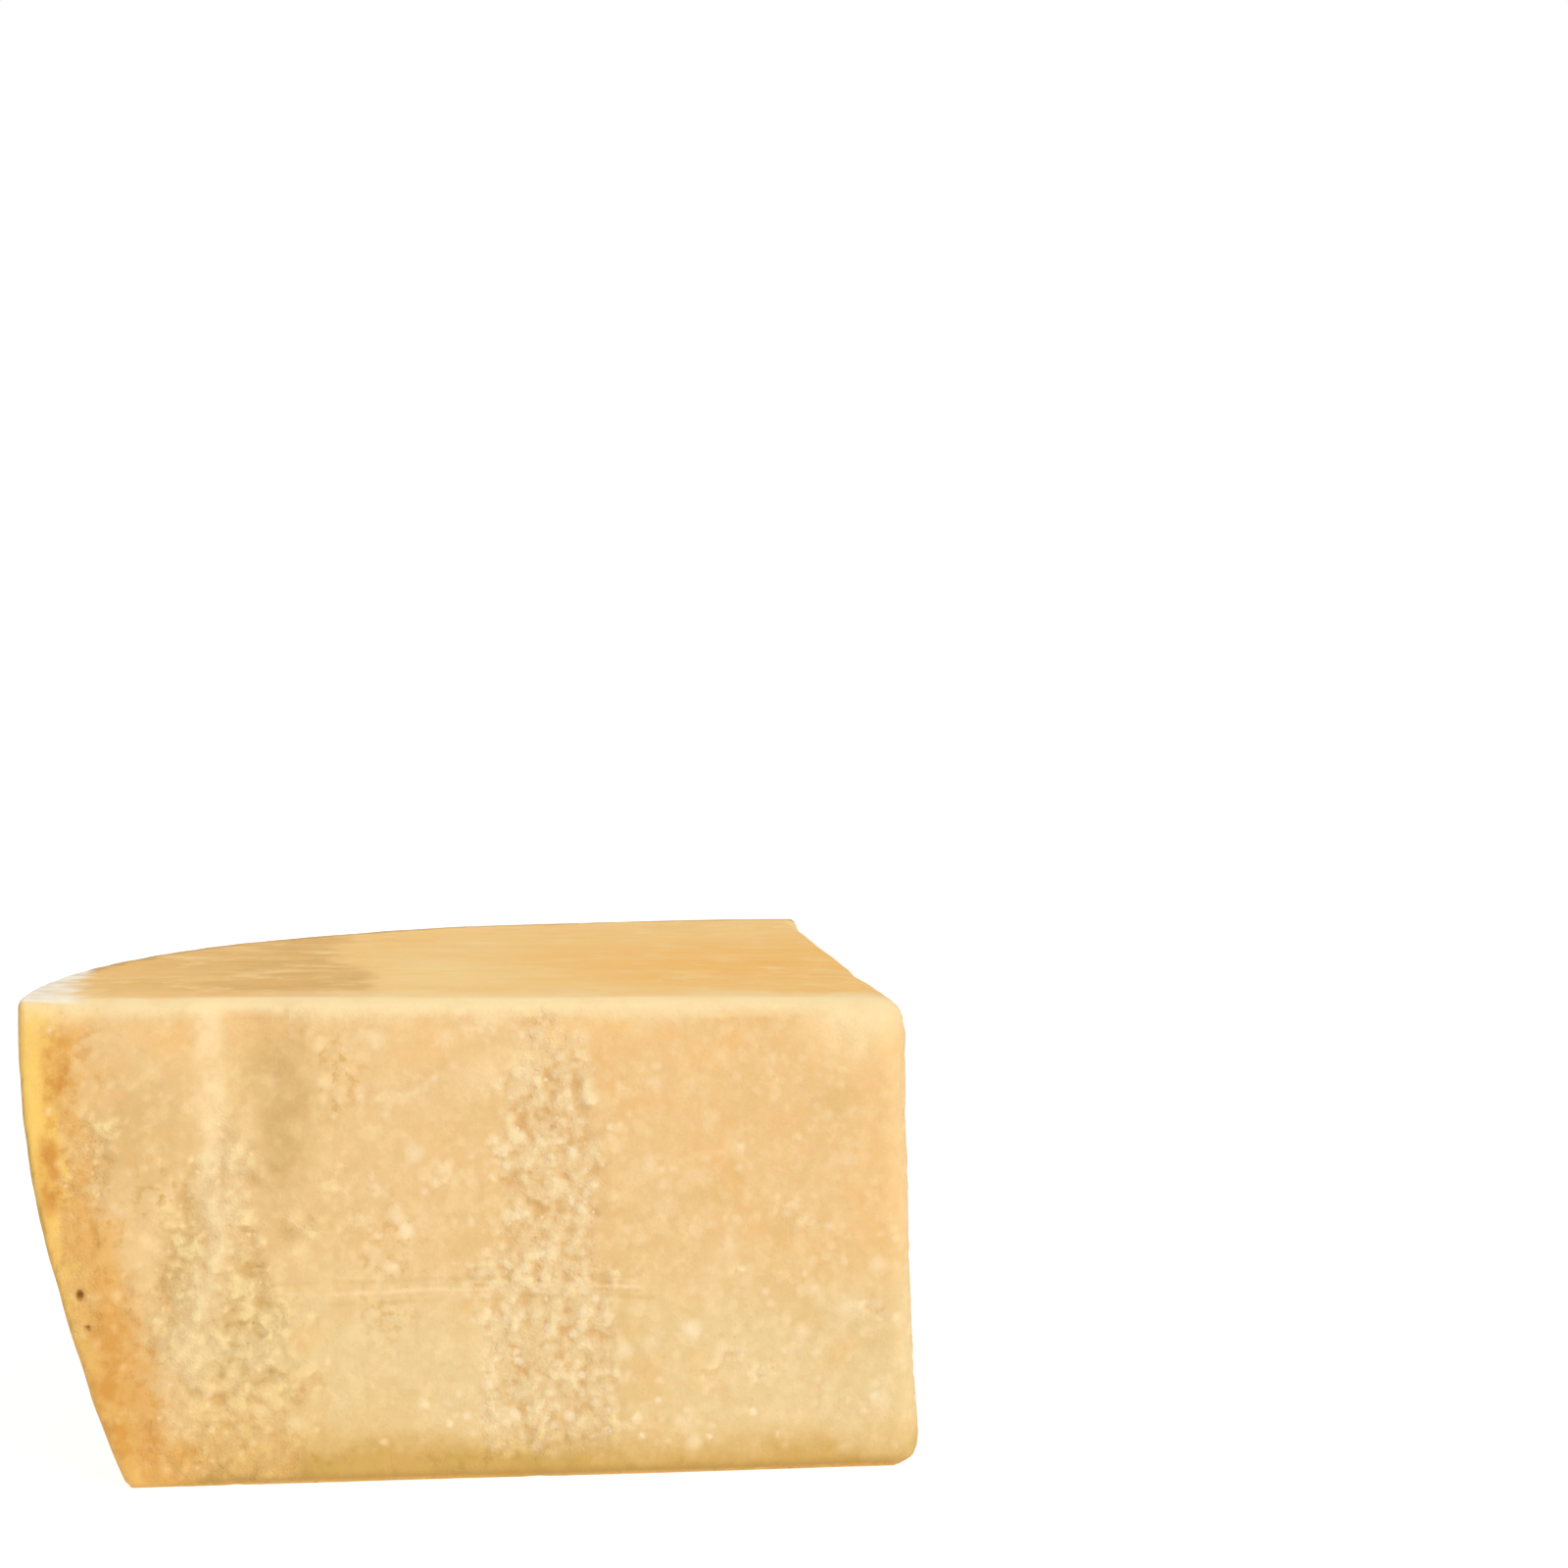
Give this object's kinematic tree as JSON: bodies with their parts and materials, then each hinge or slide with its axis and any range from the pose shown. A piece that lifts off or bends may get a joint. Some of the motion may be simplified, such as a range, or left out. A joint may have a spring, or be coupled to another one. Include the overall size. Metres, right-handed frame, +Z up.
{
  "type": "grana padano chunk",
  "caption": "Chunk of hard grainy cheese, an eighth of a wheel lying on its rind, with two rough split faces, a smooth cut top and a curved rind.",
  "frame": {"origin": "under the middle of the chunk's box, on the surface that it lies on", "axes": "+Z up, through the chunk's height; the split front faces -Y, the second split face faces +X, and the rind curves round the -X and +Y sides"},
  "size_m": [0.2048, 0.2014, 0.1114],
  "materials": {
    "cheese": "straw-coloured grainy paste with white crystals, shading to an ochre, hard, waxy rind"
  },
  "bodies": {
    "root": {"cheese_chunk": "cheese"}
  },
  "joints": []
}
